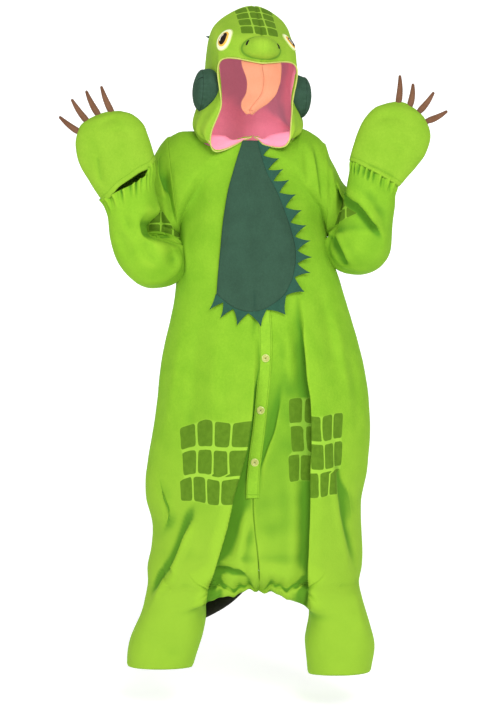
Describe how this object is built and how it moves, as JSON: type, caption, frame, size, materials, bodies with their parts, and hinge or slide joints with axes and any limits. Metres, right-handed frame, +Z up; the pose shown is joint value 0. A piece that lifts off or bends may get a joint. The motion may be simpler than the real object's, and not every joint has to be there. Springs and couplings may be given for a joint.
{
  "type": "animal kigurumi onesie",
  "caption": "Adult fleece animal onesie in worn form, arms raised, with a lizard-head hood, spiked throat flap, clawed paw mitts and a tail.",
  "frame": {"origin": "middle of the neck opening, at the height of the neckline's sides, where the wearer's shoulders and neck carry the garment", "axes": "+Z up, -Y out of the front, +X to the wearer's left"},
  "size_m": [0.8472, 0.378, 1.4974],
  "materials": {
    "green": "green plush fleece",
    "dark_green": "dark green fleece",
    "spike_green": "dark green felt",
    "pink": "pink fleece lining",
    "peach": "peach felt",
    "brown": "brown felt, stuffed",
    "black": "black felt",
    "eye_white": "off-white felt",
    "eye_yellow": "yellow felt",
    "button": "pale green plastic, four holes"
  },
  "bodies": {
    "root": {"front_right": "green", "front_left": "green", "back_right": "green", "back_left": "green", "sleeve_right": "green", "sleeve_left": "green", "paw_palm_right": "green", "paw_palm_left": "green", "paw_back_right": "green", "paw_back_left": "green", "hood_right": "green", "hood_left": "green", "button_band": "green", "snout": "green", "button_1": "button", "button_2": "button", "button_3": "button", "button_4": "button", "button_5": "button", "button_6": "button", "hood_lining": "pink", "eye_white_right": "eye_white", "eye_yellow_right": "eye_yellow", "eye_pupil_right": "black", "ear_pad_right": "dark_green", "nostril_right": "black", "claw_right_1": "brown", "claw_right_2": "brown", "claw_right_3": "brown", "claw_right_4": "brown", "eye_white_left": "eye_white", "eye_yellow_left": "eye_yellow", "eye_pupil_left": "black", "ear_pad_left": "dark_green", "nostril_left": "black", "claw_left_1": "brown", "claw_left_2": "brown", "claw_left_3": "brown", "claw_left_4": "brown", "crest": "dark_green", "tongue": "peach", "dewlap": "dark_green", "dewlap_spikes": "spike_green", "tail": "black"}
  },
  "joints": []
}
